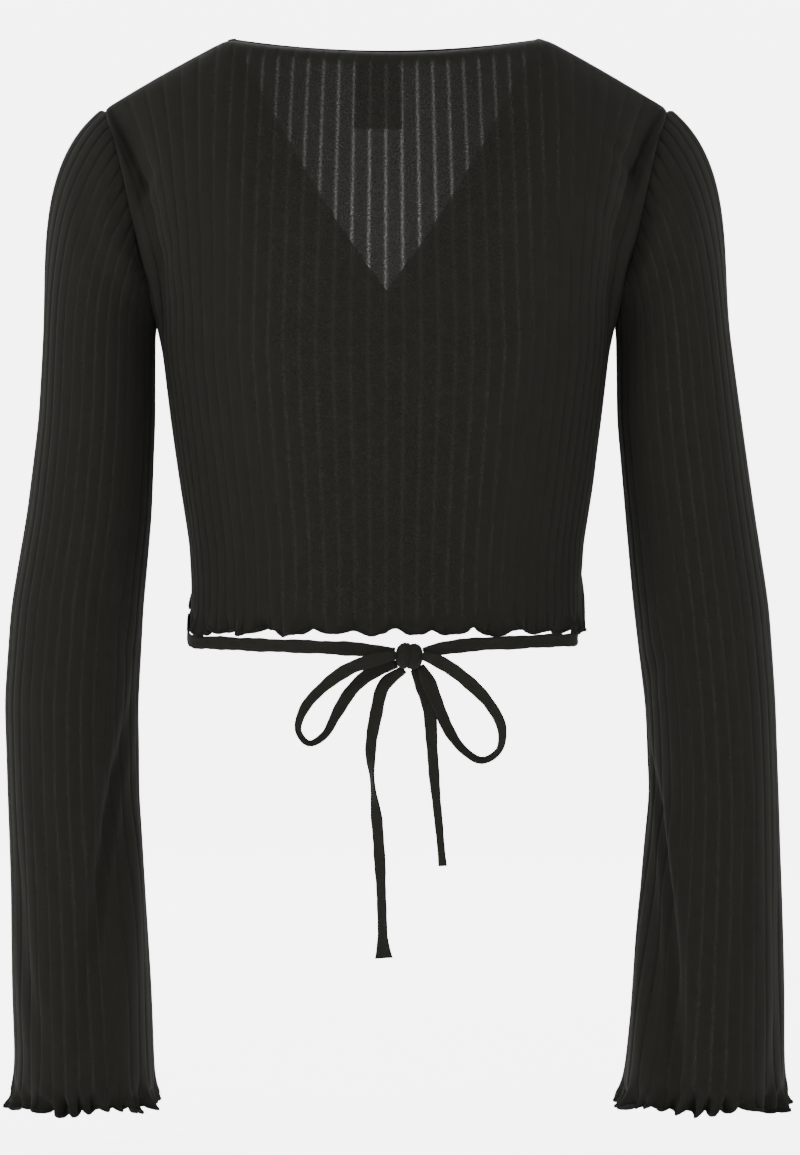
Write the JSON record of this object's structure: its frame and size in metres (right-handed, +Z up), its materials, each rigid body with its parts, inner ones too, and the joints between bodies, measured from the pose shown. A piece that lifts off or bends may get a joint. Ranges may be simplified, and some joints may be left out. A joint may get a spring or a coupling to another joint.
{
  "type": "wrap crop top",
  "caption": "Ribbed knit wrap crop top with long flared sleeves, a V neck, wavy lettuce edges and thin ties in a bow at the back waist.",
  "frame": {"origin": "midway between the two neck points, at their height, where the wearer's shoulders hold the top", "axes": "+Z up, -Y the way the wearer faces, +X towards the wearer's left"},
  "size_m": [0.5069, 0.2195, 0.6823],
  "materials": {
    "rib_knit": "matt black rib knit jersey with a faint sheen, slightly sheer where it is stretched",
    "binding_knit": "matt black folded knit strip",
    "tie_knit": "matt black knit tube, pressed flat",
    "label_tape": "plain black woven tape"
  },
  "bodies": {
    "root": {"back": "rib_knit", "front_left": "rib_knit", "front_right": "rib_knit", "sleeve_left": "rib_knit", "sleeve_right": "rib_knit", "binding_back": "binding_knit", "binding_left": "binding_knit", "binding_right": "binding_knit", "neck_label": "label_tape", "bow_knot": "tie_knit", "tie_waist_left": "tie_knit", "tie_waist_right": "tie_knit", "bow_loop_left": "tie_knit", "bow_loop_right": "tie_knit", "tie_end_left": "tie_knit", "tie_end_right": "tie_knit"}
  },
  "joints": []
}
